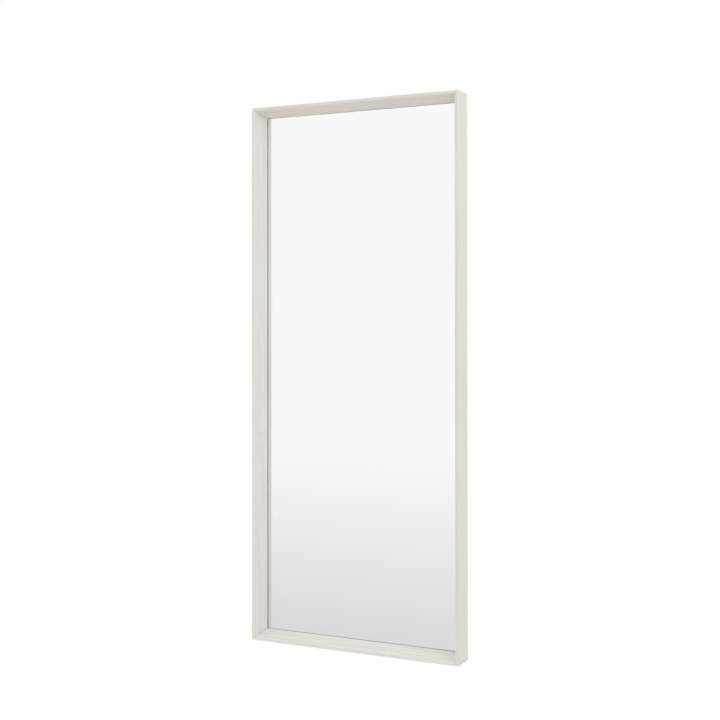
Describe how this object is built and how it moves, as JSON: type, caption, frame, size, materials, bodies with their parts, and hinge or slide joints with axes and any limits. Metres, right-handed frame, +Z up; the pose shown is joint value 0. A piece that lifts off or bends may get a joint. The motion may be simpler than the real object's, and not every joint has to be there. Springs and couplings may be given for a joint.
{
  "type": "leaner mirror",
  "caption": "Full-length mirror in a deep box frame of pale whitewashed oak, whose inner face slants in to the glass, with D-ring hangers on its back.",
  "frame": {"origin": "on the floor, under the middle of the frame's width and of the overall depth", "axes": "+Z up; the glass faces -Y and the wall is towards +Y; +X is to the right seen from the front"},
  "size_m": [0.762, 0.089, 1.831],
  "materials": {
    "whitewashed_oak": "satin limed oak, open grain",
    "pressed_beech": "bare pressed beech",
    "brown_fibreboard": "smooth bare fibreboard",
    "planed_pine": "planed bare pine",
    "zinc_steel": "bright zinc plate",
    "nickel_steel": "satin nickel plate",
    "clear_glass": "clear float glass",
    "silver": "silver deposited on the glass",
    "safety_film": "woven-backed grey film",
    "white_foam": "closed-cell white foam",
    "black_rubber": "matt black rubber"
  },
  "bodies": {
    "mirror": {"back_panel": "brown_fibreboard", "batten_screws": "zinc_steel", "bottom_rail": "whitewashed_oak", "brace_screws": "zinc_steel", "corner_biscuit_bottom_left": "pressed_beech", "corner_biscuit_bottom_right": "pressed_beech", "corner_biscuit_top_left": "pressed_beech", "corner_biscuit_top_right": "pressed_beech", "corner_brace_bottom_left": "zinc_steel", "corner_brace_bottom_right": "zinc_steel", "corner_brace_top_left": "zinc_steel", "corner_brace_top_right": "zinc_steel", "edge_spacer_lower_left": "black_rubber", "edge_spacer_lower_right": "black_rubber", "edge_spacer_upper_left": "black_rubber", "edge_spacer_upper_right": "black_rubber", "floor_pad_front_left": "black_rubber", "floor_pad_front_right": "black_rubber", "floor_pad_rear_left": "black_rubber", "floor_pad_rear_right": "black_rubber", "foam_sheet": "white_foam", "hanger_plate_left": "nickel_steel", "hanger_plate_right": "nickel_steel", "hanger_screws": "nickel_steel", "left_stile": "whitewashed_oak", "lower_batten": "planed_pine", "mirror_glass": "clear_glass", "panel_screws": "zinc_steel", "right_stile": "whitewashed_oak", "safety_film": "safety_film", "setting_block_left": "black_rubber", "setting_block_right": "black_rubber", "silver_coating": "silver", "top_rail": "whitewashed_oak", "top_spacer_left": "black_rubber", "top_spacer_right": "black_rubber", "upper_batten": "planed_pine", "wall_bumper_bottom_left": "black_rubber", "wall_bumper_bottom_right": "black_rubber", "wall_bumper_top_left": "black_rubber", "wall_bumper_top_right": "black_rubber"},
    "ring_left": {"hanger_ring_left": "nickel_steel"},
    "ring_right": {"hanger_ring_right": "nickel_steel"}
  },
  "joints": [
    {"name": "left_ring_swing", "type": "hinge", "parent": "mirror", "child": "ring_left", "pos_m": [-0.351, 0.04025, 1.42232], "axis": [1, 0, 0], "range_deg": [0, 185]},
    {"name": "right_ring_swing", "type": "hinge", "parent": "mirror", "child": "ring_right", "pos_m": [0.351, 0.04025, 1.42232], "axis": [1, 0, 0], "range_deg": [0, 185]}
  ]
}
